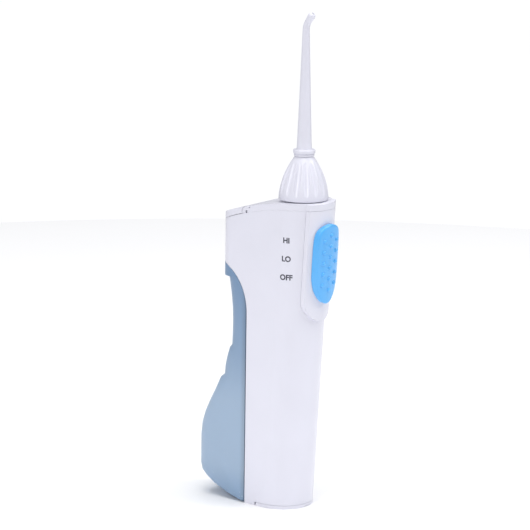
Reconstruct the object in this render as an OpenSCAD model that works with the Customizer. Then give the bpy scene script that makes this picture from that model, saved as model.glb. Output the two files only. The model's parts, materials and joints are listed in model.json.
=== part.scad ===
// Cordless water flosser: a battery handle with a drop-off tank, a plunger pump and a turning jet tip.
// +Z is up, the switch faces -Y, and the origin is the middle of the footprint on the floor.
// "back" distances (suffix _d) are measured towards +Y from the vertical axis of the jet tip.

/* [Casing] */
// Height of the casing at the front of its top cover
casing_h = 180.3; // [180:0.1:180.6]
// Width of the casing
top_width = 35.6; // [35.4:0.1:36.4]
// How far the front of the casing stands ahead of the jet axis at the top
front_top = 16; // [15.8:0.1:16.2]
// How far the front of the casing stands ahead of the jet axis at the foot
front_foot = 6; // [5.8:0.1:6.2]
// How far the back of the casing's head lies behind the jet axis
head_d = 46.5; // [46.5:0.5:47]
// Wall thickness of the casing
wall = 2; // [1.8:0.1:2.1]

/* [Tank] */
// How far the tank bulges behind the jet axis at its fullest
tank_d = 64; // [61:0.5:64]
// Wall thickness of the tank
tank_wall = 1.8; // [1.6:0.1:2]
// How far the seam between casing and tank lies behind the jet axis
seam_d = 26; // [25.8:0.1:26.2]

/* [Switch] */
// How far the slide button travels each way from its middle position
slide_travel = 10.5; // [6:0.5:10.5]
// Length of the slide button
button_len = 45.7; // [44:0.1:46]
// Half the width of the slide button
button_half = 9.6; // [9:0.1:10]

/* [Jet tip] */
// Overall height to the top of the jet tip
overall_h = 287; // [284:1:292]
// Number of flutes round the turning knob
flutes = 15; // [12:1:18]

/* [Pump] */
// Radius of the plunger
plunger_r = 4.8; // [4.7:0.05:4.8]
// Throw of the crank, half the plunger's stroke
throw = 1.5; // [1:0.1:1.5]
// Teeth of the crank gear
gear_teeth = 45; // [45:1:45]
// Teeth of the motor pinion
pinion_teeth = 9; // [9:1:9]

/* [Hidden] */

axis_y = -21.7;             // the jet axis in the part's frame
gap = 0.2;                  // seam between two casings
far = 60;                   // wider than the whole part
band = 3.7;                 // visible edge of the top cover
head_corner = 9;            // corner radius at the back of the casing's head
tank_corner = 11;           // corner radius at the back of the tank
lean = atan((front_top - front_foot) / casing_h);   // the front face leans forward by this angle

// ---- shared measures ----
function at(d) = axis_y + d;
function mix(a, b, t) = a + (b - a) * t;
function ahead(z) = mix(front_foot, front_top, z / casing_h);
dome_r = 146;
function top_z(d) = casing_h - dome_r + sqrt(dome_r * dome_r - (d + 10) * (d + 10));

// Side view of the tank's back, from the fullest point up to the casing's head
bulge_z = 35;
shelf_d = 49.9;             // the lower finger step
ridge_lo = 71;
ridge_hi = 89.7;
waist_z = 108;
arch_top = 142;
function back_d(z) =
  z < bulge_z ? tank_d :
  z < ridge_lo ? shelf_d + (tank_d - shelf_d) * sin(90 * pow((ridge_lo - z) / (ridge_lo - bulge_z), 1.15)) :
  z < ridge_lo + 2.4 ? mix(shelf_d, 47, (z - ridge_lo) / 2.4) :
  z < ridge_hi ? 43.5 + 3.5 * sin(90 * (ridge_hi - z) / (ridge_hi - ridge_lo - 2.4)) :
  z < ridge_hi + 2.1 ? mix(43.5, 41.8, (z - ridge_hi) / 2.1) :
  z < waist_z ? 41.4 + 0.4 * pow((waist_z - z) / 16.2, 2) :
  z < arch_top ? 41.4 + (head_d - 41.4) * pow((z - waist_z) / (arch_top - waist_z), 1.7) : head_d;

// Skins a stack of outlines that all have the same number of points
module skin(rings) {
  n = len(rings[0]);
  m = len(rings);
  polyhedron(
    points = [for (r = rings) each r],
    faces = concat(
      [[for (i = [0:n - 1]) i]],
      [for (k = [0:m - 2], i = [0:n - 1]) let (a = k * n + i, b = k * n + (i + 1) % n) each
        [[b + n, b, a], [a + n, b + n, a]]],
      [[for (i = [n - 1:-1:0]) (m - 1) * n + i]]),
    convexity = 6);
}

// The casing without its tank: a half-round front that leans forward, and an upright rounded back
module casing_block(inset, z0 = -5, z1 = 195) {
  r = top_width / 2 - inset;
  c = head_corner - inset;
  b = head_d - inset;
  intersection() {
    translate([0, at(top_width / 2 - front_foot), 0]) rotate([lean, 0, 0]) translate([0, 0, -20])
      linear_extrude(230) {
        circle(r = r, $fn = 96);
        translate([-r, 0]) square([2 * r, 90]);
      }
    translate([0, axis_y, z0]) linear_extrude(z1 - z0) {
      translate([-r, -50]) square([2 * r, 50 + b - c]);
      translate([-r + c, 0]) square([2 * r - 2 * c, b]);
      for (s = [-1, 1]) translate([s * (r - c), b - c]) circle(r = c, $fn = 64);
    }
  }
}

// An outline drawn in side view, [back distance, height], extruded across the whole width
module across(points, half = far) {
  translate([-half, axis_y, 0]) rotate([90, 0, 90]) linear_extrude(2 * half) polygon(points);
}

// Everything below the casing's curved top, moved up or down by an offset
module dome(offset) {
  translate([0, at(-10), casing_h - dome_r]) along_x(-far, far, dome_r + offset, 256);
}
// The space between two levels measured from the curved top of the casing
module under_top(low, high, d0, d1) {
  difference() {
    intersection() {
      dome(high);
      box(-far / 2, far / 2, d0, d1, 140, 200);
    }
    dome(low);
  }
}

// The arched seam between casing and tank, in side view
arch_n = 16;
arch_w = 24;
arch_h = 29;
function arch(clear) = [for (i = [0:arch_n]) let (t = 90 * i / arch_n)
  [seam_d + arch_w - (arch_w - clear) * cos(t), arch_top - arch_h + (arch_h - clear) * sin(t)]];
function arch_d(z, clear) = let (t = asin(max(0, min(1, (z - arch_top + arch_h) / (arch_h - clear)))))
  seam_d + arch_w - (arch_w - clear) * cos(t);
module behind_seam(clear) {
  across(concat([[80, arch_top - clear], [80, -5], [seam_d + clear, -5]], arch(clear)));
}

// The slide button's frame: origin on the front face, local z up along the leaning front, -y outwards
button_z = 145.6;
module on_front(z) {
  translate([0, axis_y - ahead(z), z]) rotate([lean, 0, 0]) children();
}

// A tube or wire swept along a route that never runs along ref
function unit(v) = v / norm(v);
module swept(route, r, ref = [1, 0, 0], sides = 8) {
  m = len(route);
  skin([for (k = [0:m - 1])
    let (t = unit(route[min(k + 1, m - 1)] - route[max(k - 1, 0)]), u = unit(cross(t, ref)), v = cross(t, u))
    [for (i = [0:sides - 1]) route[k] + r * (cos(360 * i / sides) * u + sin(360 * i / sides) * v)]]);
}

// A route through hand-placed points, rounded with a Catmull-Rom curve
function bend(p, steps) = [for (k = [0:len(p) - 2], i = [0:steps - 1])
    let (a = p[max(k - 1, 0)], b = p[k], c = p[k + 1], e = p[min(k + 2, len(p) - 1)], t = i / steps)
    0.5 * (2 * b + (c - a) * t + (2 * a - 5 * b + 4 * c - e) * t * t + (3 * b - a - 3 * c + e) * t * t * t)];
function rounded(p, steps = 4) = concat(bend(p, steps), [p[len(p) - 1]]);

// A wire coil about z, its radius running from r0 to r1
module coil(r0, r1, height, turns, wire) {
  n = ceil(turns * 14);
  swept([for (i = [0:n]) let (t = i / n, r = mix(r0, r1, t), a = 360 * turns * t)
    [r * cos(a), r * sin(a), height * t]], wire, [0, 0, 1], 8);
}

module ring(r_out, r_in, h) {
  difference() {
    cylinder(r = r_out, h = h, $fn = 64);
    translate([0, 0, -1]) cylinder(r = r_in, h = h + 2, $fn = 64);
  }
}
module seal(r_mid, wire) {
  rotate_extrude($fn = 64) translate([r_mid, 0]) circle(r = wire, $fn = 24);
}
module along_x(x0, x1, r, fn = 48) {
  translate([x0, 0, 0]) rotate([0, 90, 0]) cylinder(r = r, h = x1 - x0, $fn = fn);
}
module along_y(d0, d1, r, fn = 32) {
  translate([0, at(d0), 0]) rotate([-90, 0, 0]) cylinder(r = r, h = d1 - d0, $fn = fn);
}
module box(x0, x1, d0, d1, z0, z1) {
  translate([x0, at(d0), z0]) cube([x1 - x0, d1 - d0, z1 - z0]);
}

// ---- casing ----
door_top = 2.1;             // the casing's edge sits this high, on the battery door
door_d = 19.9;              // the door's hinge pin
door_pin_z = 1.7;
hinge_r = 1.4;
slot_half = 1.9;
slot_len = 2 * (2.1 + slide_travel + 0.4);
part_d = [24, 25.8];        // front and back of the wall between works and tank bay
suction_z = 139;
dip_d = 31.5;
screw_spots = [[-8, 72], [8, 72], [-8, 120], [8, 120]];

module main_shell() {
  color("white") difference() {
    casing_block(0, 0, 185);
    behind_seam(0);
    under_top(-band, 40, -25, 60);                        // the top cover's seat
    intersection() {                                      // the works' room
      casing_block(wall, -1, 190);
      box(-far, far, -40, part_d[0], -2, 190);
    }
    intersection() {                                      // the tank bay
      casing_block(wall, -1, 190);
      box(-far, far, part_d[1], 60, -2, 190);
    }
    box(-far, far, -40, 18.6, -2, door_top);               // the battery door's seat
    at_flap_pin() {
      along_x(-lug_x, lug_x, barrel_room);
      along_x(-30, 30, 0.86);
    }
    translate([0, at(door_d), door_pin_z]) along_x(-12.2, 12.2, hinge_r + 0.25);
    box(-12.2, 12.2, 18, door_d + hinge_r + 0.25, -2, door_pin_z);
    on_front(button_z) translate([-slot_half, -5, -slot_len / 2]) cube([2 * slot_half, 10, slot_len]);
    translate([0, 0, suction_z]) along_y(20, 30, 2.9);
    for (s = screw_spots) translate([s[0], 0, s[1]]) {
      along_y(23, 27, 0.95);
      along_y(24.7, 27, 2);
    }
    translate([0, at(door_d), door_pin_z]) along_x(-15.5, 15.5, 0.62);
  }
}

// The front sector that the switch panel and the cover's lip share
panel_half = 12.3;
panel_lift = 2.1;
panel_round_z = 124;
panel_round_h = 12.5;
module tongue(half, z1, round_h) {
  n = 20;
  translate([0, at(-5), 0]) rotate([90, 0, 0]) linear_extrude(30) polygon(concat(
    [[half, z1], [-half, z1]],
    [for (i = [0:n]) let (t = 180 + 180 * i / n) [half * cos(t), panel_round_z + round_h * sin(t)]]));
}

module switch_panel() {
  color("white") difference() {
    intersection() {
      casing_block(-panel_lift, 100, 182);
      tongue(panel_half, 190, panel_round_h);
    }
    casing_block(-0.05, 90, 190);
    under_top(-band - 0.1, 40, -25, 60);
    on_front(button_z) translate([-slot_half, -5, -slot_len / 2]) cube([2 * slot_half, 10, slot_len]);
  }
}

flap_pin_d = 27;            // hinge of the filler flap
flap_pin_z = top_z(27) - 3.2;
barrel_r = 2.95;
barrel_room = 3.75;
lug_x = 15.6;
lug_r = 3;
lug_d = 30;
knob_hole = 6.6;
module at_flap_pin() {
  translate([0, at(flap_pin_d), flap_pin_z]) children();
}

module top_cover() {
  color("white") difference() {
    union() {
      intersection() {
        casing_block(0, 160);
        under_top(-band, 0, -25, lug_d);
      }
      intersection() {                                    // lip over the switch panel
        casing_block(-panel_lift, 160);
        tongue(panel_half, 190, panel_round_h);
        under_top(-band, 0, -25, 0);
      }
      difference() {                                      // skirt inside the casing
        intersection() {
          casing_block(wall + 0.15, 160);
          under_top(-band - 3, -band + 0.1, -25, part_d[0] - 0.2);
        }
        casing_block(wall + 1.5, 150);
      }
    }
    intersection() {                                      // hollow underneath
      casing_block(wall + 1.5, 150);
      under_top(-20, -2, -25, part_d[0] - 1.5);
    }
    translate([0, axis_y, 160]) cylinder(r = knob_hole, h = 40, $fn = 64);
    for (s = [-1, 1]) translate([s * 10.5, axis_y, 177]) cylinder(r = 0.9, h = 2.4, $fn = 24);
    at_flap_pin() along_x(-lug_x, lug_x, barrel_room);
    box(-lug_x, lug_x, flap_pin_d, 60, 160, 190);
    difference() {                                        // round back of the hinge's lugs
      box(-30, 30, flap_pin_d, 60, 160, 190);
      at_flap_pin() along_x(-31, 31, lug_r);
    }
    at_flap_pin() intersection() {                        // groove that the open flap turns into
      difference() {
        along_x(-30, 30, barrel_room);
        along_x(-31, 31, lug_r);
      }
      rotate([45, 0, 0]) translate([-30, 0, -20]) cube([60, 20, 40]);
    }
    at_flap_pin() along_x(-30, 30, 0.8);
  }
}

rim_z = 164.9;              // top of the tank's filler neck
module filler_flap() {
  color("white") difference() {
    union() {
      intersection() {
        casing_block(0, 150);
        under_top(-band + gap, 0, flap_pin_d, 60);
      }
      at_flap_pin() along_x(-lug_x + 0.15, lug_x - 0.15, barrel_r);
    }
    for (s = [-1, 1]) translate([s * (lug_x + 10 - 0.15), 0, 0])
      at_flap_pin() along_x(-10, 10, lug_r + gap);
    at_flap_pin() along_x(-20, 20, 0.85);
  }
}
module flap_pin() {
  color("silver") at_flap_pin() along_x(-16.6, 16.6, 0.8);
}
module flap_gasket() {
  color("lightgray") difference() {                       // bonded to the flap, hollow over the mouth
    intersection() {
      box(-12, 12, 33.8, 43.2, rim_z + 0.1, 175);
      dome(-band + gap - 0.03);
    }
    neck_bore(160, 166);
  }
}

// ---- slide switch ----
face_lift = 3;              // the button's middle stands this far above the panel
face_r = 30;
module shield() {
  low = -button_len / 2;
  n = 10;
  bottom = [for (i = [0:n]) let (t = i / n) [button_half * (1 - pow(t, 2.4)), low + 13.5 * (1 - t)]];
  top_edge = [for (i = [0:n]) let (x = mix(-button_half, button_half, i / n))
    [x, button_len / 2 - 4.8 * pow(abs(x) / button_half, 1.8)]];
  polygon(concat(bottom, [for (i = [n - 1:-1:0]) [-bottom[i][0], bottom[i][1]]], top_edge));
}
nub_pitch = 6.35;
module nubs() {
  for (k = [0:5]) nub(0, -15 + nub_pitch * k);
  for (s = [-1, 1], k = [0:4]) nub(s * 5.4, -11.8 + nub_pitch * k);
}
module nub(x, z) {
  translate([x, -panel_lift - face_lift + x * x / (2 * face_r) + 0.5, z]) sphere(r = 1, $fn = 24);
}
module slide_button() {
  color("deepskyblue") difference() {
    on_front(button_z) {
      intersection() {
        rotate([90, 0, 0]) linear_extrude(12) shield();
        translate([0, face_r - panel_lift - face_lift, -40]) cylinder(r = face_r, h = 80, $fn = 128);
      }
      nubs();
      translate([-1.5, -4, -2]) cube([3, 7, 4]);           // stem through the slot
    }
    difference() {
      casing_block(-panel_lift - 0.3, 100, 190);
      on_front(button_z) translate([-1.5, -9, -2]) cube([3, 20, 4]);
    }
  }
}
module slide_carrier() {
  color("dimgray") on_front(button_z) translate([-5, 3, -7]) cube([10, 1.4, 14]);
}
module contact_wiper() {
  color("goldenrod") on_front(button_z) {
    translate([-2.5, 4.4, -5]) cube([5, 0.3, 10]);
    for (s = [-1, 1]) translate([s * 1.5, 0, 0]) {
      translate([-0.6, 4.7, -4.6]) cube([1.2, 2.2, 0.3]);
      translate([-0.6, 6.6, -4.6]) cube([1.2, 0.3, 5]);
    }
  }
}
board_y = 7.2;
module switch_board() {
  color("seagreen") on_front(button_z) difference() {
    translate([-8, board_y, -16]) cube([16, 1.2, 26]);
    for (s = [-1, 1]) translate([s * 4, board_y - 1, -15])
      rotate([-90, 0, 0]) cylinder(r = 0.75, h = 4, $fn = 24);
  }
}
module contact_pads() {
  color("goldenrod") on_front(button_z)
    for (k = [-1:1]) translate([-3.5, board_y - 0.2, k * 8 - 4.2]) cube([7, 0.2, 5]);
}
module speed_resistor() {
  color("tan") on_front(button_z) translate([5.9, board_y - 1.3, -13.4]) {
    cylinder(r = 0.9, h = 4.4, $fn = 32);
    for (z = [-1, 4.3]) translate([0, 0, z]) cylinder(r = 0.25, h = 1.1, $fn = 16);
  }
}

// ---- tank ----
shoulder_z = 134;
neck_d = [35.2, 43.1];
neck_half = 11.5;
neck_wall = 1.4;
tank_floor = [[0, 27], [0.9, 32.6], [3.5, 43.6], [7.4, 53], [11, 58.6], [14, 61.5], [18, 62.3]];
function floor_d(z) = z >= 18 ? back_d(z) : min(back_d(z), lookup(z, tank_floor) + tank_d - 62.5);
tank_levels = [1.2, 3.5, 7.4, 11, 14, 18, 26, bulge_z, 42, 49, 56, 63, ridge_lo, ridge_lo + 2.4, 79, 84,
  ridge_hi, ridge_hi + 2.1, 100, waist_z, 114, 120, 126, 131, 133.9];
// A level outline: a narrow front inside the casing, a step out at the seam, and round rear corners
function tank_outline(z, w, front, back) =
  let (r = top_width / 2 - w, f = front + w, q = top_width / 2 - wall - 0.4 - w, b = back - w,
    s = min(b - 2, max(arch_d(z, gap) + w, f + 0.2)), c = min(tank_corner, b - s - 0.5), k = c - w)
  [for (p = concat([[0, b]],
      [for (i = [0:6]) [-r + k - k * sin(15 * i), b - k + k * cos(15 * i)]],
      [[-r, s], [-q, s], [-q, f], [q, f], [q, s], [r, s]],
      [for (i = [0:6]) [r - k + k * cos(15 * i), b - k + k * sin(15 * i)]])) [p[0], at(p[1]), z]];
module tank_tip() {
  seam = [for (p = arch(gap)) if (p[1] > 133.4 && p[0] < back_d(p[1]) - 0.2) p];
  across(concat([[back_d(133), 133], [arch_d(133, gap), 133]], seam,
    [[back_d(138), seam[len(seam) - 1][1]], [back_d(136), 136], [back_d(134.5), 134.5]]));
}
module neck_bore(z0, z1) {
  w = neck_wall;
  box(-neck_half + w, neck_half - w, neck_d[0] + w, neck_d[1] - w, z0, z1);
}
module water_tank() {
  color("steelblue") difference() {
    union() {
      skin([for (z = tank_levels) tank_outline(z, 0, seam_d + 0.4, floor_d(z))]);
      intersection() {                                    // the tip of the tank, behind the arched seam
        casing_block(0, 100);
        tank_tip();
      }
      box(-neck_half, neck_half, neck_d[0], neck_d[1], 130, rim_z);
    }
    skin([for (z = concat([4.4, 7.4], [for (l = tank_levels) if (l > 8 && l < 130) l], [132.2]))
      tank_outline(z, tank_wall, seam_d + 0.4, floor_d(z - 1.2))]);
    neck_bore(128, 190);
    translate([0, at(dip_d), shoulder_z - 5]) cylinder(r = 3.1, h = 10, $fn = 48);
  }
}
module tank_grommet() {
  color("dimgray") translate([0, at(dip_d), shoulder_z - tank_wall]) difference() {
    union() {
      cylinder(r = 3.05, h = tank_wall + 0.01, $fn = 48);
      translate([0, 0, tank_wall + 0.01]) cylinder(r = 2.9, h = 1, $fn = 48);
    }
    translate([0, 0, -1]) cylinder(r = 2.05, h = 9, $fn = 48);
  }
}
dip_r = 2;
bore_r = 1.1;
module dip_tube() {
  color("gainsboro") difference() {
    union() {
      translate([0, at(dip_d), 9]) cylinder(r = dip_r, h = suction_z - 9, $fn = 48);
      translate([0, at(dip_d), suction_z]) sphere(r = dip_r, $fn = 48);
      translate([0, 0, suction_z]) along_y(27.5, dip_d, dip_r);
      translate([0, 0, suction_z]) along_y(23.2, 28, 1.6);
    }
    translate([0, at(dip_d), 0]) cylinder(r = bore_r, h = suction_z, $fn = 32);
    translate([0, 0, suction_z]) along_y(20, dip_d, bore_r);
  }
}
module inlet_filter() {
  color("gray") translate([0, at(dip_d), 0]) difference() {
    union() {
      translate([0, 0, 6.6]) cylinder(r = dip_r, h = 2.38, $fn = 48);
      translate([0, 0, 8.9]) cylinder(r = bore_r - 0.01, h = 2.2, $fn = 32);
    }
    translate([0, 0, 7.4]) cylinder(r = 0.7, h = 9, $fn = 32);
    for (k = [0:2]) rotate([0, 0, 60 * k]) translate([0, 0, 7.9]) cube([0.5, 8, 0.9], center = true);
  }
}
module suction_hose() {
  color("lightgray") translate([0, 0, suction_z]) difference() {
    along_y(20.2, 27.4, 2.6);
    along_y(20, 28, 1.62);
  }
}

// ---- battery bay ----
cell_x = 7.4;
cell_d = 12.6;
cell_z = [5.2, 54.7];
module cell(up) {
  translate([0, at(cell_d), 0]) {
    translate([0, 0, cell_z[0] + (up ? 0 : 1)]) cylinder(r = 7.25, h = cell_z[1] - cell_z[0] - 1, $fn = 64);
    translate([0, 0, up ? cell_z[1] - 1.1 : cell_z[0]]) cylinder(r = 2.7, h = 1.1, $fn = 32);
  }
}
module battery_left() {
  color("goldenrod") translate([-cell_x, 0, 0]) cell(true);
}
module battery_right() {
  color("goldenrod") translate([cell_x, 0, 0]) cell(false);
}
module battery_tray() {
  color("dimgray") difference() {
    intersection() {
      box(-13.2, 13.2, 3, 23.6, 7, 62);
      casing_block(wall + 0.2, 0, 190);
    }
    for (s = [-1, 1]) translate([s * cell_x, at(cell_d), -1]) cylinder(r = 7.33, h = 60.2, $fn = 64);
    box(-14, 14, 3, 8, 12, 55);                            // open front
    box(-1.2, 1.2, 0, 30, 6, 58);                          // slit between the cells
  }
}
module contact_springs() {
  color("silver") for (s = [-1, 1]) translate([s * cell_x, at(cell_d), 0]) {
    translate([0, 0, 58.7]) cylinder(r = 6, h = 0.4, $fn = 48);
    if (s > 0) translate([0, 0, 55.15]) coil(3.4, 5.2, 3.1, 2.5, 0.35);
    else translate([0, 0, 55]) cylinder(r = 2.4, h = 3.7, $fn = 32);
  }
}
module battery_door() {
  color("white") difference() {
    union() {
      intersection() {
        casing_block(0, 0, 20);
        box(-far, far, -40, 18.4, 0, door_top - 0.15);
      }
      translate([0, at(door_d), door_pin_z]) along_x(-12, 12, hinge_r);
      box(-12, 12, 17, door_d, 0.3, door_top - 0.15);
      difference() {                                      // rim that enters the casing
        intersection() {
          casing_block(wall + 0.55, 0, 20);
          box(-far, far, -40, 16.5, 1, 4.4);
        }
        intersection() {
          casing_block(wall + 1.7, -1, 20);
          box(-far, far, -40, 15.3, 1, 9);
        }
      }
    }
    translate([0, at(door_d), door_pin_z]) {
      along_x(-20, 20, 0.66);
      for (s = [-1, 1]) translate([s * 22.1, 0, 0]) along_x(-10, 10, 2.3);
    }
    // finger groove under the front edge
    translate([0, at(-ahead(0) - 0.4), -0.3]) along_x(-4, 4, 1);
  }
}
module door_gasket() {
  color("dimgray") difference() {
    intersection() {
      casing_block(wall + 0.25, 0, 20);
      box(-far, far, -40, 16.8, 2.2, 3.2);
    }
    intersection() {
      casing_block(wall + 0.45, -1, 20);
      box(-far, far, -40, 16.6, 1, 9);
    }
  }
}
module door_pin() {
  color("silver") translate([0, at(door_d), door_pin_z]) along_x(-15.2, 15.2, 0.6);
}
module bridge_contact() {
  color("silver") {
    box(-12, 12, 6.6, 14.6, 1.96, 2.4);
    translate([cell_x, at(cell_d), 2.4]) cylinder(r = 2, h = 2.7, $fn = 32);
    translate([-cell_x, at(cell_d), 2.75]) coil(2.3, 1.5, 2, 2, 0.3);
  }
}

// ---- frame and drive ----
motor_d = 11;
motor_z = 78;
module_mm = 0.5;
crank_z = motor_z + module_mm * (gear_teeth + pinion_teeth) / 2;
gear_x = [10.4, 13.4];
shelf_z = 126;
flange_z = 128;
head_z = [130, 144];
module chassis() {
  color("gray") difference() {
    union() {
      box(-10.3, 10.3, 22.2, 23.7, 64, 143);
      for (x = [-8.2, 5.2]) box(x, x + 2.6, 6.5, 22.3, 86.3, crank_z + 6);
      for (x = [-6, 2]) box(x, x + 2.4, 4, 22.3, 66, motor_z - 7.6);
      box(-11, 11, 1.6, 22.3, shelf_z, flange_z);
    }
    translate([0, at(motor_d), crank_z]) along_x(-20, 20, 1.55);
    translate([0, at(motor_d), 100]) cylinder(r = 7.1, h = 40, $fn = 64);
    for (s = [-1, 1]) translate([s * 9, at(motor_d), 100]) cylinder(r = 0.9, h = 40, $fn = 24);
    for (s = screw_spots) translate([s[0], 0, s[1]]) along_y(20, 25, 0.8);
    translate([0, 0, suction_z]) along_y(20, 26, 2.9);
  }
}
module chassis_screws() {
  color("silver") for (s = screw_spots) translate([s[0], 0, s[1]]) difference() {
    union() {
      along_y(22.4, 25, 0.78);
      along_y(24.75, 25.75, 1.85);
    }
    along_y(25.3, 26, 0.7, 6);
  }
}
module motor_section(r, half_t, x0, x1) {
  intersection() {
    along_x(x0, x1, r, 64);
    translate([x0 - 1, -20, -half_t]) cube([x1 - x0 + 2, 40, 2 * half_t]);
  }
}
module motor_can() {
  color("silver") translate([0, at(motor_d), motor_z]) difference() {
    union() {
      motor_section(10.05, 7.55, -9.3, 8.4);
      along_x(8, 9.8, 3);
    }
    motor_section(9.25, 6.75, -10, 7.6);
    along_x(0, 12, 1.06);
  }
}
module motor_endcap() {
  color("ivory") translate([0, at(motor_d), motor_z]) difference() {
    union() {
      motor_section(10.05, 7.55, -13.8, -9.32);
      for (s = [-1, 1]) translate([-12.2, s * 5 - 1, -9.1]) cube([0.5, 2, 3]);
    }
    motor_section(8.4, 6, -12.4, -9);
    along_x(-13.3, -9, 1.06);
  }
}
module motor_rotor() {
  color("silver") translate([0, at(motor_d), motor_z]) {
    along_x(-13.1, 14.1, 1);
    along_x(-8, 5.6, 2.3);
    for (k = [0:2]) rotate([120 * k, 0, 0]) translate([-7.4, -1.6, 0.6]) cube([12.4, 3.2, 5.4]);
    along_x(-11.6, -8.6, 2.2);
  }
}

// Gear outline: straight-flanked teeth, relieved so that the pair runs with backlash
function tooth(n, k, rise) =
  let (rp = module_mm * n / 2, a = 360 * k / n, root = rp - 1.25 * module_mm, tip = rp + rise,
    half_root = 0.26 * 360 / n, half_pitch = 0.205 * 360 / n, half_tip = 0.11 * 360 / n)
  [[root, a - half_root], [rp, a - half_pitch], [tip, a - half_tip],
    [tip, a + half_tip], [rp, a + half_pitch], [root, a + half_root]];
module gear2d(n, phase = 0) {
  polygon([for (k = [0:n - 1]) each [for (p = tooth(n, k + phase, 0.85 * module_mm))
    [p[0] * cos(p[1]), p[0] * sin(p[1])]]]);
}
module pinion() {
  color("goldenrod") translate([gear_x[0], at(motor_d), motor_z]) rotate([90, 0, 90]) difference() {
    linear_extrude(gear_x[1] - gear_x[0]) rotate([0, 0, 90]) gear2d(pinion_teeth);
    translate([0, 0, -1]) cylinder(r = 1.01, h = 9, $fn = 32);
  }
}
module crank_gear() {
  color("ivory") translate([gear_x[0] + 0.2, at(motor_d), crank_z]) rotate([90, 0, 90]) difference() {
    linear_extrude(gear_x[1] - gear_x[0] - 0.4) rotate([0, 0, -90]) gear2d(gear_teeth, 0.5);
    translate([0, 0, -1]) cylinder(r = 1.51, h = 9, $fn = 32);
    for (k = [0:4]) rotate([0, 0, 72 * k]) translate([6, 0, -1]) cylinder(r = 2.1, h = 9, $fn = 32);
  }
}
journal_r = 3.2;
module crank_shaft() {
  color("silver") translate([0, at(motor_d), crank_z]) {
    along_x(-8.6, 14, 1.5);
    translate([0, throw, 0]) along_x(-2.4, 2.4, journal_r);
  }
}
rod_len = 22.5;
module con_rod() {
  color("ivory") translate([0, at(motor_d) + throw, crank_z]) difference() {
    union() {
      along_x(-1.7, 1.7, 4.1);
      translate([0, 0, 3.6]) cylinder(r = 1.2, h = rod_len - 3.6, $fn = 32);
      translate([0, 0, rod_len]) sphere(r = 1.5, $fn = 32);
    }
    along_x(-5, 5, journal_r + 0.05);
  }
}
wrist_z = crank_z + rod_len;
module plunger() {
  color("ivory") translate([0, at(motor_d), wrist_z]) difference() {
    translate([0, 0, -5]) cylinder(r = plunger_r, h = 14.8, $fn = 64);
    translate([0, 0, -6]) cylinder(r = plunger_r - 1.1, h = 11.3, $fn = 64);
    translate([0, 0, 7]) ring(plunger_r + 1, plunger_r - 0.7, 1.1);
  }
}
module plunger_seal() {
  color("dimgray") translate([0, at(motor_d), wrist_z + 7.55]) seal(plunger_r - 0.31, 0.34);
}
module pump_cylinder() {
  color("gainsboro") translate([0, at(motor_d), 0]) difference() {
    union() {
      translate([0, 0, 111.5]) cylinder(r = 7, h = flange_z - 111.5, $fn = 64);
      translate([0, 0, flange_z]) cylinder(r = 10.8, h = head_z[0] - flange_z, $fn = 64);
    }
    translate([0, 0, 100]) cylinder(r = plunger_r + 0.05, h = 40, $fn = 64);
    for (s = [-1, 1]) translate([s * 9, 0, 100]) cylinder(r = 1.05, h = 40, $fn = 24);
  }
}
ball_r = 1.9;
inlet_d = 14;
module pump_head() {
  color("gainsboro") difference() {
    union() {
      box(-10.8, 10.8, -3.2, 20, head_z[0], head_z[1]);
      translate([0, axis_y, head_z[1]]) cylinder(r = 1.7, h = 4.6, $fn = 48);
      translate([0, 0, suction_z]) along_y(19.9, 22.9, 1.6);
    }
    // inlet: from the barb, down past the ball to the cylinder
    translate([0, 0, suction_z]) along_y(inlet_d, 30, 1);
    translate([0, at(inlet_d), 131.4]) cylinder(r = 2.3, h = 5.1, $fn = 48);
    translate([0, at(inlet_d), 129]) cylinder(r = 1.1, h = 10, $fn = 32);
    // outlet: up from the cylinder, forward, and up past the ball to the nozzle
    translate([0, at(7.6), 129]) cylinder(r = 1.1, h = 4.5, $fn = 32);
    translate([0, 0, 133.4]) along_y(0, 7.6, 1.1);
    translate([0, axis_y, 133.4]) cylinder(r = 1.2, h = 30, $fn = 32);
    translate([0, axis_y, 135.6]) cylinder(r = 2.3, h = 6.8, $fn = 48);
    for (s = [-1, 1]) translate([s * 9, at(motor_d), 120]) cylinder(r = 1.05, h = 40, $fn = 24);
  }
}
module inlet_ball() {
  color("silver") translate([0, at(inlet_d), 134.5]) sphere(r = ball_r, $fn = 32);
}
module outlet_ball() {
  color("silver") translate([0, axis_y, 137.6]) sphere(r = ball_r, $fn = 32);
}
module valve_spring() {
  color("silver") translate([0, axis_y, 139.2]) coil(1.5, 1.7, 2.95, 3, 0.2);
}
module pump_screws() {
  color("silver") for (s = [-1, 1]) translate([s * 9, at(motor_d), 0]) difference() {
    union() {
      translate([0, 0, shelf_z + 0.4]) cylinder(r = 0.88, h = head_z[1] - shelf_z, $fn = 24);
      translate([0, 0, head_z[1] + 0.02]) cylinder(r = 1.9, h = 1.3, $fn = 32);
    }
    translate([0, 0, head_z[1] + 0.7]) cylinder(r = 0.8, h = 2, $fn = 6);
  }
}

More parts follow.
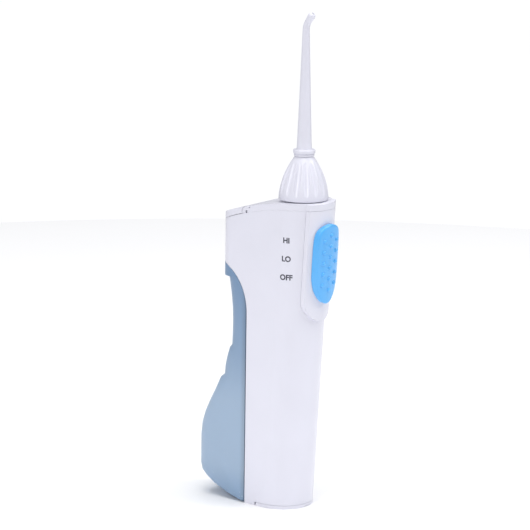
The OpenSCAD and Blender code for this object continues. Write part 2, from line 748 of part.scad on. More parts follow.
// ---- outlet and turning knob ----
socket_z = [150, 157, 177.6];
module delivery_hose() {
  color("lightgray") translate([0, axis_y, 144.2]) difference() {
    cylinder(r = 2.7, h = 12.6, $fn = 48);
    translate([0, 0, -1]) cylinder(r = 1.72, h = 16, $fn = 48);
  }
}
module nozzle_socket() {
  color("gainsboro") translate([0, axis_y, 0]) difference() {
    union() {
      translate([0, 0, socket_z[0]]) cylinder(r = 1.7, h = 8, $fn = 48);
      translate([0, 0, socket_z[1]]) cylinder(r = 8.4, h = socket_z[2] - 0.7 - socket_z[1], $fn = 64);
      translate([-12.2, -3, socket_z[2] - 1.6]) cube([24.4, 6, 1.6]);
    }
    translate([0, 0, 140]) cylinder(r = 1, h = 40, $fn = 32);
    translate([0, 0, 161]) cylinder(r = 6.15, h = 30, $fn = 64);
    for (s = [-1, 1]) translate([s * 10.5, 0, 160]) cylinder(r = 1, h = 40, $fn = 24);
  }
}
module socket_screws() {
  color("silver") for (s = [-1, 1]) translate([s * 10.5, axis_y, 0]) difference() {
    union() {
      translate([0, 0, 175.5]) cylinder(r = 0.85, h = 3.6, $fn = 24);
      translate([0, 0, 174.5]) cylinder(r = 1.7, h = 1.48, $fn = 32);
    }
    translate([0, 0, 173.6]) cylinder(r = 0.7, h = 1.7, $fn = 6);
  }
}
bell_z = 180.8;
bell_h = 24.4;
function bell_r(t) = mix(14.2, 5.3, pow(t, 2.1)) - 1.1 * t * (1 - t);
module rotation_knob() {
  n = 14;
  outer = [for (i = [0:n]) [bell_r(i / n), bell_h * i / n]];
  inner = [for (i = [0:8]) let (t = mix(0, 0.62, i / 8)) [bell_r(t) - 3.4, bell_h * t]];
  color("white") translate([0, axis_y, bell_z]) difference() {
    rotate_extrude($fn = 96) polygon(concat(
      [[3.05, bell_h], [3.05, 2.2], [1.3, 2.2], [1.3, -19], [6.1, -19], [6.1, 0.4]],
      [[6.1, bell_h * 0.62]], [for (i = [8:-1:0]) inner[i]], outer));
    for (k = [0:flutes - 1]) rotate([0, 0, 360 / flutes * (k + 0.3)])
      translate([16.2, 0, 3]) rotate([0, -20, 0]) cylinder(r = 2.2, h = 21, $fn = 32);
    translate([0, 0, -15.4]) ring(8, 5.08, 1.8);
    translate([0, 0, 17]) ring(3.7, 2, 1);
  }
}
module swivel_seal() {
  color("dimgray") translate([0, axis_y, bell_z - 14.5]) seal(5.62, 0.48);
}
module tip_clip() {
  color("silver") translate([0, axis_y, bell_z + 17.15]) difference() {
    ring(3.66, 3.08, 0.7);
    translate([0, -1, -1]) cube([9, 2, 4]);
  }
}

// ---- jet tip ----
stem_z = 184.2;
collar_z = bell_z + bell_h + 0.15;
bend_z = overall_h - 10.2;
bend_angle = 30;
nozzle_r = 2.35;
module jet_tip() {
  color("white") translate([0, axis_y, 0]) difference() {
    union() {
      rotate_extrude($fn = 64) polygon([[0, stem_z], [2.6, stem_z], [2.98, stem_z + 0.5],
        [2.98, stem_z + 1.6],
        [2.4, stem_z + 1.6], [2.4, stem_z + 2.7], [2.98, stem_z + 2.7], [2.98, collar_z], [5.6, collar_z],
        [5.8, collar_z + 0.3], [5.8, collar_z + 1.2], [5, collar_z + 1.5], [5, collar_z + 3.7],
        [4.35, collar_z + 4.2], [4.1, collar_z + 9], [3.45, collar_z + 27], [2.65, collar_z + 52],
          [1.95, bend_z],
        [0, bend_z]]);
      translate([0, 0, bend_z]) sphere(r = 2.05, $fn = 48);
      translate([0, 0, bend_z]) rotate([bend_angle, 0, 0]) cylinder(r1 = 1.95, r2 = 2.15, h = 7.2, $fn = 48);
      outlet_end() sphere(r = nozzle_r, $fn = 48);
      outlet_end() rotate([90, 0, 0]) cylinder(r = nozzle_r, h = 1.5, $fn = 48);
    }
    translate([0, 0, stem_z - 1]) cylinder(r = 0.8, h = bend_z - stem_z + 1.4, $fn = 24);
    translate([0, 0, bend_z]) rotate([bend_angle, 0, 0]) cylinder(r = 0.8, h = 8, $fn = 24);
    outlet_end() rotate([90, 0, 0]) cylinder(r = 0.5, h = 8, $fn = 24);
    outlet_end() translate([0, -1, 0]) rotate([90, 0, 0]) cylinder(r1 = 0.5, r2 = 1.5, h = 1.5, $fn = 32);
  }
}
module outlet_end() {
  translate([0, -(overall_h - nozzle_r - bend_z) * tan(bend_angle), overall_h - nozzle_r])
    children();
}
module tip_ring() {
  color("white") translate([0, axis_y, collar_z + 1.55]) rotate_extrude($fn = 64)
    polygon([[5.02, 0], [6.1, 0], [6.3, 0.3], [6.3, 1.8], [6.1, 2.1], [5.02, 2.1]]);
}
module tip_seal() {
  color("dimgray") translate([0, axis_y, stem_z + 2.15]) seal(2.72, 0.3);
}

// ---- leads ----
module lead(route, colour) {
  color(colour) swept(rounded(route), 0.6, [0.96, 0.28, 0], 8);
}
module lead_positive() {
  lead([[8.5, at(5), 63.2], [9, at(2), 64.4], [9, at(-1.5), 68], [8.4, at(-2), 78], [7, at(-3.2), 95],
    [5, at(-4), 112], [4, at(-5.2), 122], [4, at(-4.9), 128.4]], "crimson");
}
module lead_motor() {
  lead([[-4, at(-4.9), 128.4], [-4, at(-5.2), 122], [-5, at(-4), 112], [-7, at(-3.2), 95], [-9, at(-2), 80],
    [-10.5, at(-1.6), 69], [-11.5, at(1.5), 66.4], [-11.95, at(4.8), 66.6], [-11.95, at(6), 68.7]],
      "crimson");
}
module lead_negative() {
  lead([[-7.4, at(20.5), 63], [-8, at(19.5), 64.3], [-10.5, at(17), 65.6], [-11.95, at(16), 68.7]], "black");
}

main_shell();
top_cover();
filler_flap();
flap_pin();
flap_gasket();
switch_panel();
slide_button();
slide_carrier();
contact_wiper();
switch_board();
contact_pads();
speed_resistor();
water_tank();
tank_grommet();
dip_tube();
inlet_filter();
suction_hose();
battery_door();
door_gasket();
door_pin();
bridge_contact();
battery_left();
battery_right();
battery_tray();
contact_springs();
chassis();
chassis_screws();
motor_can();
motor_endcap();
motor_rotor();
pinion();
crank_gear();
crank_shaft();
con_rod();
plunger();
plunger_seal();
pump_cylinder();
pump_head();
pump_screws();
inlet_ball();
outlet_ball();
valve_spring();
delivery_hose();
nozzle_socket();
socket_screws();
swivel_seal();
rotation_knob();
tip_clip();
jet_tip();
tip_ring();
tip_seal();
lead_positive();
lead_negative();
lead_motor();
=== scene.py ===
"""Finishes the water flosser: surfaces, tank, jet tip, slide button, legends and studio."""

import json
import math

import bmesh
import bpy
from mathutils import Matrix, Vector


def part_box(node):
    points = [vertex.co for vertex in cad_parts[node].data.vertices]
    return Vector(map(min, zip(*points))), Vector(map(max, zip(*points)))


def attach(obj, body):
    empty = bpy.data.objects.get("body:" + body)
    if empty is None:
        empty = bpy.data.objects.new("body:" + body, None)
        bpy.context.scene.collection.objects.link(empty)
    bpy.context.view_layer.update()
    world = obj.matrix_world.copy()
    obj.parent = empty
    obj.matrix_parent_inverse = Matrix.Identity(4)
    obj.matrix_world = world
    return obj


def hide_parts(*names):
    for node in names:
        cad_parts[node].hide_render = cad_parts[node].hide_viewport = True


bl_info = {
    "name": "Water flosser",
    "version": (1, 0, 0),
    "blender": (4, 5, 0),
    "location": "3D View > Sidebar > Flosser",
    "description": "Finishes a cordless water flosser and sets it on a studio floor",
    "category": "Object",
}

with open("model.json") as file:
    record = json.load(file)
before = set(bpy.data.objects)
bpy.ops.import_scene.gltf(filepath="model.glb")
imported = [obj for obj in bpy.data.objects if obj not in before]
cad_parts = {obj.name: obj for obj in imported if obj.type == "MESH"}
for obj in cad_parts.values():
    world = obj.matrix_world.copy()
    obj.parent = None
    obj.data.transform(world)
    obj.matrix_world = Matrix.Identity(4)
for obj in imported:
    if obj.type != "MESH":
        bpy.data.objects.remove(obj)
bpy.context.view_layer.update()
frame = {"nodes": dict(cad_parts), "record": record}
MM = 0.001
RECORD = frame["record"]


def node_box(name):
    low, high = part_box(name)
    return Vector(low), Vector(high)


CASE_LOW, CASE_HIGH = node_box("main_shell")
TIP_LOW, TIP_HIGH = node_box("jet_tip")
RING_LOW, RING_HIGH = node_box("tip_ring")
AXIS_Y = (RING_LOW.y + RING_HIGH.y) / 2
CASING_HEIGHT = 180.3 * MM
FRONT_FOOT = 6 * MM
FRONT_LEAN = 10 * MM
SWITCH_LEAN = math.atan2(FRONT_LEAN, CASING_HEIGHT)
HALF_WIDTH = CASE_HIGH.x
SWITCH_Z = 145.6 * MM
PANEL_LIFT = 2.1 * MM
BUTTON_GAP = 0.3 * MM
LETTER_LIFT = 0.02 * MM
AIM_HEIGHT = 0.1418
AIM_SIDE = 21.3 * MM
LIGHT_AIM = Vector((0, 0, 0.13))
LIGHTS = (
    # name, place, size, power, colour
    ("key", (-1.5, -0.2, 1.0), 0.5, 8.0, (1.0, 0.995, 1.0)),
    ("fill", (0.7, -1.2, 1.1), 0.5, 7.5, (0.97, 0.98, 1.0)),
    ("top", (0.0, 0.0, 1.9), 2.0, 37.0, (1.0, 1.0, 1.0)),
)


def ahead(z):
    """How far the leaning front face stands before the jet's axis at a height."""
    return FRONT_FOOT + FRONT_LEAN * z / CASING_HEIGHT


def linear(colour):
    return tuple(c / 12.92 if c <= 0.04045 else ((c + 0.055) / 1.055) ** 2.4 for c in colour)


# ---- settings ----
def colour_prop(label, text, srgb):
    return bpy.props.FloatVectorProperty(
        name=label, description=text, default=linear(srgb), size=3, min=0, max=1, subtype="COLOR"
    )


class FLOSSER_PG_colours(bpy.types.PropertyGroup):
    shell: colour_prop("Casing", "Colour of the white mouldings", (0.9, 0.9, 0.945))
    tank: colour_prop("Tank", "Colour of the frosted tank's upper part", (0.516, 0.65, 0.80))
    # Painted light: the tank's bulge is painted lighter where light comes through it.
    tank_painted_glow: colour_prop("Tank bulge", "Colour of the tank where light comes through it", (0.72, 0.815, 0.915))
    switch: colour_prop("Switch", "Colour of the slide button", (0.36, 0.72, 0.985))
    legend: colour_prop("Legends", "Colour of the printed switch positions", (0.28, 0.28, 0.33))
    floor: colour_prop("Floor", "Colour of the studio floor", (0.97, 0.97, 0.975))


class FLOSSER_PG_tip(bpy.types.PropertyGroup):
    bend_radius: bpy.props.FloatProperty(
        name="Bend radius", description="Radius of the curve near the outlet", default=9 * MM, unit="LENGTH"
    )
    bend_angle: bpy.props.FloatProperty(
        name="Bend angle", description="How far the outlet leans forward", default=math.radians(34), subtype="ANGLE"
    )
    end_radius: bpy.props.FloatProperty(
        name="Outlet radius", description="Radius of the rounded outlet end", default=2.15 * MM, unit="LENGTH"
    )
    jet_radius: bpy.props.FloatProperty(
        name="Jet radius", description="Radius of the jet's hole", default=0.55 * MM, unit="LENGTH"
    )


class FLOSSER_PG_button(bpy.types.PropertyGroup):
    length: bpy.props.FloatProperty(
        name="Length", description="Length of the slide button", default=46.4 * MM, unit="LENGTH"
    )
    half_width: bpy.props.FloatProperty(
        name="Half width", description="Half the button's width", default=9.9 * MM, unit="LENGTH"
    )
    face_lift: bpy.props.FloatProperty(
        name="Face height", description="How far its face stands above the panel", default=3.2 * MM, unit="LENGTH"
    )
    edge: bpy.props.FloatProperty(
        name="Edge", description="Radius of the rounded edge", default=1.2 * MM, unit="LENGTH"
    )
    nub: bpy.props.FloatProperty(
        name="Nub radius", description="Radius of a grip nub", default=1.3 * MM, unit="LENGTH"
    )


class FLOSSER_PG_legends(bpy.types.PropertyGroup):
    letter_height: bpy.props.FloatProperty(
        name="Letter height", description="Height of the printed capitals", default=3.0 * MM, unit="LENGTH"
    )
    top_height: bpy.props.FloatProperty(
        name="Top legend", description="Height of the top legend's middle", default=159.0 * MM, unit="LENGTH"
    )
    pitch: bpy.props.FloatProperty(
        name="Pitch", description="Distance between two legends", default=10.7 * MM, unit="LENGTH"
    )
    back: bpy.props.FloatProperty(
        name="Distance behind the jet", description="Middle of the legends", default=-1.2 * MM, unit="LENGTH"
    )


class FLOSSER_PG_stage(bpy.types.PropertyGroup):
    azimuth: bpy.props.FloatProperty(
        name="Azimuth", description="Camera's turn round the object", default=math.radians(-53), subtype="ANGLE"
    )
    elevation: bpy.props.FloatProperty(
        name="Elevation", description="Camera's height angle", default=math.radians(12), subtype="ANGLE"
    )
    roll: bpy.props.FloatProperty(
        name="Roll", description="Camera's tilt about its own axis", default=math.radians(0.78), subtype="ANGLE"
    )
    distance: bpy.props.FloatProperty(
        name="Distance", description="Camera's distance", default=1.6, unit="LENGTH"
    )
    view_width: bpy.props.FloatProperty(
        name="View width", description="Width seen at the object", default=0.3023, unit="LENGTH"
    )


# ---- shared node groups ----
class Nodes:
    """Adds and links nodes in one tree."""

    def __init__(self, tree):
        self.tree = tree

    def add(self, kind, inputs=None, **settings):
        node = self.tree.nodes.new(kind)
        for key, value in settings.items():
            setattr(node, key, value)
        for key, value in (inputs or {}).items():
            if isinstance(value, bpy.types.NodeSocket):
                self.tree.links.new(value, node.inputs[key])
            else:
                node.inputs[key].default_value = value
        return node


def new_group(name, inputs, outputs):
    tree = bpy.data.node_groups.new(name, "ShaderNodeTree")
    for label, kind, default in inputs:
        socket = tree.interface.new_socket(label, in_out="INPUT", socket_type=kind)
        if default is not None:
            socket.default_value = default
    for label, kind in outputs:
        tree.interface.new_socket(label, in_out="OUTPUT", socket_type=kind)
    return tree, tree.nodes.new("NodeGroupInput"), tree.nodes.new("NodeGroupOutput")


def moulded_group():
    """Moulded plastic: a slight mottle in the colour, handled gloss and a fine skin."""
    tree, source, sink = new_group(
        "moulded_skin",
        [
            ("Colour", "NodeSocketColor", (0.8, 0.8, 0.8, 1)),
            ("Roughness", "NodeSocketFloat", 0.35),
            ("Grain", "NodeSocketFloat", 2500.0),
            ("Relief", "NodeSocketFloat", 0.1),
        ],
        [("Colour", "NodeSocketColor"), ("Roughness", "NodeSocketFloat"), ("Height", "NodeSocketFloat")],
    )
    n = Nodes(tree)
    where = n.add("ShaderNodeTexCoord").outputs["Object"]
    cloud = n.add("ShaderNodeTexNoise", {"Vector": where, "Scale": 45.0, "Detail": 3.0}).outputs["Fac"]
    smear = n.add("ShaderNodeTexNoise", {"Vector": where, "Scale": 160.0, "Detail": 5.0}).outputs["Fac"]
    grain = n.add("ShaderNodeTexNoise", {"Vector": where, "Scale": source.outputs["Grain"], "Detail": 2.0})
    shade = n.add("ShaderNodeMapRange", {"Value": cloud, "To Min": 0.965, "To Max": 1.03}).outputs["Result"]
    tint = n.add("ShaderNodeVectorMath", {0: source.outputs["Colour"]}, operation="SCALE")
    tree.links.new(shade, tint.inputs["Scale"])
    gloss = n.add("ShaderNodeMapRange", {"Value": smear, "To Min": 0.85, "To Max": 1.2}).outputs["Result"]
    rough = n.add("ShaderNodeMath", {0: source.outputs["Roughness"], 1: gloss}, operation="MULTIPLY")
    relief = n.add("ShaderNodeMath", {0: grain.outputs["Fac"], 1: source.outputs["Relief"]}, operation="MULTIPLY")
    tree.links.new(tint.outputs[0], sink.inputs["Colour"])
    tree.links.new(rough.outputs[0], sink.inputs["Roughness"])
    tree.links.new(relief.outputs[0], sink.inputs["Height"])
    return tree


def metal_group():
    """Drawn or turned metal: fine lines along one direction, with dull patches."""
    tree, source, sink = new_group(
        "worked_metal",
        [
            ("Colour", "NodeSocketColor", (0.6, 0.6, 0.6, 1)),
            ("Roughness", "NodeSocketFloat", 0.3),
            ("Stretch", "NodeSocketVector", (200.0, 4000.0, 4000.0)),
        ],
        [("Colour", "NodeSocketColor"), ("Roughness", "NodeSocketFloat"), ("Height", "NodeSocketFloat")],
    )
    n = Nodes(tree)
    where = n.add("ShaderNodeTexCoord").outputs["Object"]
    lines = n.add("ShaderNodeVectorMath", {0: where, 1: source.outputs["Stretch"]}, operation="MULTIPLY")
    brush = n.add("ShaderNodeTexNoise", {"Vector": lines.outputs[0], "Scale": 1.0, "Detail": 4.0}).outputs["Fac"]
    patch = n.add("ShaderNodeTexNoise", {"Vector": where, "Scale": 260.0, "Detail": 3.0}).outputs["Fac"]
    shade = n.add("ShaderNodeMapRange", {"Value": patch, "To Min": 0.82, "To Max": 1.1}).outputs["Result"]
    tint = n.add("ShaderNodeVectorMath", {0: source.outputs["Colour"]}, operation="SCALE")
    tree.links.new(shade, tint.inputs["Scale"])
    both = n.add("ShaderNodeMath", {0: brush, 1: patch}, operation="ADD").outputs[0]
    gloss = n.add(
        "ShaderNodeMapRange", {"Value": both, "From Min": 0.6, "From Max": 1.4, "To Min": 0.7, "To Max": 1.4}
    )
    rough = n.add("ShaderNodeMath", {0: source.outputs["Roughness"], 1: gloss.outputs[0]}, operation="MULTIPLY")
    tree.links.new(tint.outputs[0], sink.inputs["Colour"])
    tree.links.new(rough.outputs[0], sink.inputs["Roughness"])
    tree.links.new(brush, sink.inputs["Height"])
    return tree


def new_material(name):
    material = bpy.data.materials.new(name)
    material.use_nodes = True
    material.node_tree.nodes.clear()
    n = Nodes(material.node_tree)
    out = n.add("ShaderNodeOutputMaterial")
    return material, n, out


def surface_material(name, colour, roughness, group, values, bump, edge=0.0, **shader):
    """A material on one of the shared groups. edge softens the shading of sharp edges, in metres."""
    material, n, out = new_material(name)
    skin = n.add("ShaderNodeGroup", node_tree=group)
    skin.inputs["Colour"].default_value = (*colour, 1)
    skin.inputs["Roughness"].default_value = roughness
    for key, value in values.items():
        skin.inputs[key].default_value = value
    relief = n.add("ShaderNodeBump", {"Strength": bump, "Distance": 0.05 * MM, "Height": skin.outputs["Height"]})
    if edge:
        soft = n.add("ShaderNodeBevel", {"Radius": edge}, samples=6)
        n.tree.links.new(soft.outputs[0], relief.inputs["Normal"])
    body = n.add(
        "ShaderNodeBsdfPrincipled",
        {
            "Base Color": skin.outputs["Colour"],
            "Roughness": skin.outputs["Roughness"],
            "Normal": relief.outputs[0],
            **shader,
        },
    )
    n.tree.links.new(body.outputs[0], out.inputs["Surface"])
    return material


def tank_material(colours, group):
    """Frosted blue tank: painted lighter where light comes through the bulge, painted shade along its join with the
    casing, darker at the very foot, with dried drops near the foot.
    """
    material, n, out = new_material("tank_frosted")
    where = n.add("ShaderNodeTexCoord").outputs["Object"]
    split = n.add("ShaderNodeSeparateXYZ", {"Vector": where})
    height = n.add("ShaderNodeValToRGB")
    up = n.add("ShaderNodeMapRange", {"Value": split.outputs["Z"], "From Min": 0.0, "From Max": 0.142})
    n.tree.links.new(up.outputs[0], height.inputs["Fac"])
    ramp = height.color_ramp
    top, painted_glow_colour = tuple(colours.tank), tuple(colours.tank_painted_glow)
    # Painted light: the height ramp runs from a darker foot, up through the lighter colour painted where light comes
    # through the bulge, to the tank's own colour at the top.
    ramp.elements[0].color = (*(c * k for c, k in zip(painted_glow_colour, (0.66, 0.76, 0.86))), 1)
    ramp.elements[1].color = (*top, 1)
    for at, c in ((0.14, painted_glow_colour), (0.42, painted_glow_colour), (0.62, tuple((a + b) / 2 for a, b in zip(top, painted_glow_colour)))):
        ramp.elements.new(at).color = (*c, 1)
    # Painted shade: the tank is darkened towards its join with the casing, where shade falls between the parts.
    seam_painted_shade = n.add(
        "ShaderNodeMapRange",
        {"Value": split.outputs["Y"], "From Min": AXIS_Y + 26.2 * MM, "From Max": AXIS_Y + 30.5 * MM, "To Min": 0.74},
        interpolation_type="SMOOTHSTEP",
    )
    tone = n.add("ShaderNodeVectorMath", {0: height.outputs["Color"]}, operation="SCALE")
    n.tree.links.new(seam_painted_shade.outputs[0], tone.inputs["Scale"])
    drops = n.add("ShaderNodeTexVoronoi", {"Vector": where, "Scale": 420.0, "Randomness": 1.0})
    spot = n.add(
        "ShaderNodeMapRange",
        {"Value": drops.outputs["Distance"], "From Min": 0.1, "From Max": 0.2, "To Min": 1.0, "To Max": 0.0},
    )
    patch = n.add("ShaderNodeTexNoise", {"Vector": where, "Scale": 90.0, "Detail": 2.0})
    some = n.add("ShaderNodeMapRange", {"Value": patch.outputs["Fac"], "From Min": 0.52, "From Max": 0.62})
    low = n.add(
        "ShaderNodeMapRange",
        {"Value": split.outputs["Z"], "From Min": 0.006, "From Max": 0.045, "To Min": 1.0, "To Max": 0.0},
    )
    mask = spot.outputs[0]
    for factor in (some.outputs[0], low.outputs[0], 0.55):
        mask = n.add("ShaderNodeMath", {0: mask, 1: factor}, operation="MULTIPLY").outputs[0]
    dotted = n.add(
        "ShaderNodeMix", {"Factor": mask, "A": tone.outputs[0], "B": (0.8, 0.86, 0.93, 1)}, data_type="RGBA"
    )
    skin = n.add("ShaderNodeGroup", node_tree=group)
    n.tree.links.new(dotted.outputs["Result"], skin.inputs["Colour"])
    skin.inputs["Roughness"].default_value = 0.42
    skin.inputs["Grain"].default_value = 3200.0
    skin.inputs["Relief"].default_value = 1.0
    relief = n.add("ShaderNodeBump", {"Strength": 0.25, "Distance": 0.03 * MM, "Height": skin.outputs["Height"]})
    soft = n.add("ShaderNodeBevel", {"Radius": 0.5 * MM}, samples=6)
    n.tree.links.new(soft.outputs[0], relief.inputs["Normal"])
    body = n.add(
        "ShaderNodeBsdfPrincipled",
        {
            "Base Color": skin.outputs["Colour"],
            "Roughness": skin.outputs["Roughness"],
            "Normal": relief.outputs[0],
            "IOR": 1.49,
            "Transmission Weight": 0.28,
            "Coat Weight": 0.12,
            "Coat Roughness": 0.3,
        },
    )
    n.tree.links.new(body.outputs[0], out.inputs["Surface"])
    return material


def make_materials(colours):
    plastic, metal = moulded_group(), metal_group()

    def moulded(name, colour, rough, grain=2500.0, relief=1.0, bump=0.06, edge=0.3 * MM, **shader):
        return surface_material(
            name, colour, rough, plastic, {"Grain": grain, "Relief": relief}, bump, edge, **shader
        )

    def worked(name, colour, rough, stretch=(200.0, 4000.0, 4000.0), bump=0.15):
        return surface_material(name, colour, rough, metal, {"Stretch": stretch}, bump, 0.1 * MM, Metallic=1.0)

    return {
        "shell_white": moulded(
            "casing_white", colours.shell, 0.3, edge=0.45 * MM, **{"Coat Weight": 0.25, "Coat Roughness": 0.18}
        ),
        "switch_blue": moulded(
            "switch_blue", colours.switch, 0.3, edge=0.2 * MM, **{"Coat Weight": 0.3, "Coat Roughness": 0.15}
        ),
        "tank_blue": tank_material(colours, plastic),
        "rubber_dark": moulded("seal_black", (0.02, 0.02, 0.022), 0.7, 4200.0, bump=0.3, edge=0),
        "rubber_clear": moulded(
            "hose_milky", (0.62, 0.65, 0.66), 0.45, bump=0.12, edge=0, **{"Transmission Weight": 0.25}
        ),
        "plastic_dark": moulded("frame_black", (0.03, 0.03, 0.034), 0.48, 3400.0, bump=0.25),
        "plastic_ivory": moulded("gear_ivory", (0.68, 0.64, 0.52), 0.42, bump=0.14, edge=0.1 * MM),
        "plastic_natural": moulded(
            "pump_natural", (0.55, 0.6, 0.63), 0.36, edge=0.15 * MM, **{"Transmission Weight": 0.15}
        ),
        "steel": worked("steel_drawn", (0.56, 0.57, 0.58), 0.28),
        "brass": worked("contact_brass", (0.72, 0.5, 0.2), 0.3, (300.0, 3000.0, 3000.0)),
        "board_green": moulded("board_green", (0.01, 0.11, 0.05), 0.3, 1800.0, bump=0.2, edge=0),
        "cell_jacket": moulded("cell_sleeve", (0.36, 0.22, 0.04), 0.22, 900.0, bump=0.05, edge=0.3 * MM, Metallic=0.6),
        "ceramic_tan": moulded("resistor_tan", (0.45, 0.3, 0.15), 0.35, bump=0.1, edge=0),
        "wire_red": moulded("lead_red", (0.42, 0.015, 0.02), 0.4, bump=0.1, edge=0),
        "wire_black": moulded("lead_black", (0.015, 0.015, 0.015), 0.42, bump=0.1, edge=0),
        "legend_ink": moulded("legend_ink", colours.legend, 0.55, 5200.0, bump=0.15, edge=0),
    }


def dress(obj, material):
    obj.data.materials.clear()
    obj.data.materials.append(material)


def finish_piece(name, bm, material, body, nodes=(), smooth=math.radians(38)):
    """Turns a bmesh into a named piece that rides on a body and stands for CAD nodes."""
    bm.normal_update()
    mesh = bpy.data.meshes.new(name)
    for face in bm.faces:
        face.smooth = True
    for edge in bm.edges:
        if len(edge.link_faces) == 2 and edge.calc_face_angle(0) > smooth:
            edge.smooth = False
    bm.to_mesh(mesh)
    bm.free()
    piece = bpy.data.objects.new(name, mesh)
    bpy.context.scene.collection.objects.link(piece)
    dress(piece, material)
    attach(piece, body)
    if nodes:
        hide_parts(*nodes)
    return piece


def loft(bm, rings, sides=48):
    """Bridges circles, each given as (middle, direction, radius), and returns the loops of edges."""
    loops = []
    for middle, direction, radius in rings:
        turn = Vector((0, 0, 1)).rotation_difference(Vector(direction)).to_matrix().to_4x4()
        made = bmesh.ops.create_circle(
            bm, cap_ends=False, segments=sides, radius=radius, matrix=Matrix.Translation(middle) @ turn
        )
        loops.append(list({e for v in made["verts"] for e in v.link_edges}))
    for low, high in zip(loops, loops[1:]):
        bmesh.ops.bridge_loops(bm, edges=low + high)
    return loops


MATERIALS = {}


class FLOSSER_OT_surfaces(bpy.types.Operator):
    """Gives every carried-over part the finish of its material slot"""

    bl_idname = "flosser.surfaces"
    bl_label = "Surfaces"

    def execute(self, context):
        MATERIALS.update(make_materials(context.scene.flosser_colours))
        slots = {part["node"]: part["material_slot"] for part in RECORD["subparts"]}
        for name, obj in frame["nodes"].items():
            dress(obj, MATERIALS[slots[name]])
        return {"FINISHED"}


class FLOSSER_OT_tank(bpy.types.Operator):
    """Makes the tank's facets one smooth skin with crisp edges"""

    bl_idname = "flosser.tank"
    bl_label = "Tank"

    def execute(self, context):
        bm = bmesh.new()
        bm.from_mesh(frame["nodes"]["water_tank"].data)
        bmesh.ops.remove_doubles(bm, verts=bm.verts, dist=0.004 * MM)
        bmesh.ops.dissolve_degenerate(bm, edges=bm.edges, dist=0.004 * MM)
        finish_piece(
            "tank_skin", bm, MATERIALS["tank_blue"], "water_tank_body", ["water_tank"], math.radians(33)
        )
        return {"FINISHED"}


class FLOSSER_OT_jet_tip(bpy.types.Operator):
    """Builds the tapered jet tip with its curved outlet"""

    bl_idname = "flosser.jet_tip"
    bl_label = "Jet tip"

    def execute(self, context):
        tip = context.scene.flosser_tip
        low, collar = TIP_LOW.z, RING_LOW.z - 1.55 * MM
        up = (0, 0, 1)
        # heights and radii in mm: the plug with its seal groove, then from the collar to the bend
        plug = [(0, 1.5), (0, 2.6), (0.5, 2.98), (1.6, 2.98), (1.6, 2.4), (2.7, 2.4), (2.7, 2.98)]
        taper = [
            (0, 2.98), (0, 5.6), (0.25, 5.8), (1.2, 5.8), (1.45, 5.55), (1.5, 5.0), (3.7, 5.0), (3.75, 4.5),
            (4.2, 4.3), (8.6, 4.08), (27, 3.45), (46, 2.8), (62, 2.3), (70, 2.05),
        ]
        rings = [
            ((0, AXIS_Y, foot + z * MM), up, r * MM)
            for foot, part in ((low, plug), (collar, taper))
            for z, r in part
        ]
        reach = 3.6 * MM
        drop = tip.bend_radius * math.sin(tip.bend_angle)
        start = Vector((0, AXIS_Y, TIP_HIGH.z - tip.end_radius - drop - reach * math.cos(tip.bend_angle)))
        centre = start - Vector((0, tip.bend_radius, 0))
        steps = 10
        for k in range(steps + 1):
            a = tip.bend_angle * k / steps
            middle = centre + tip.bend_radius * Vector((0, math.cos(a), math.sin(a)))
            rings.append((middle, (0, -math.sin(a), math.cos(a)), (1.98 - 0.08 * k / steps) * MM))
        along = Vector((0, -math.sin(tip.bend_angle), math.cos(tip.bend_angle)))
        end = Vector(rings[-1][0]) + reach * along
        r = tip.end_radius
        for s, k in ((-1.6, 0.93), (-1.0, 0.99), (-0.4, 1.0), (0.3, 0.99), (0.9, 0.9), (1.35, 0.76), (1.65, 0.6)):
            rings.append((end + s * MM * along, along, r * k))
        face = end + 1.72 * MM * along
        rings += [
            (face, along, r * 0.5),
            (face, along, tip.jet_radius * 1.5),
            (face - 0.35 * MM * along, along, tip.jet_radius),
            (face - 4 * MM * along, along, tip.jet_radius * 0.98),
        ]
        bm = bmesh.new()
        loops = loft(bm, rings)
        for edges in (loops[0], loops[-1]):
            bmesh.ops.contextual_create(bm, geom=edges)
        bmesh.ops.recalc_face_normals(bm, faces=bm.faces)
        finish_piece("tip_tube", bm, MATERIALS["shell_white"], "tip", ["jet_tip"], math.radians(32))
        return {"FINISHED"}


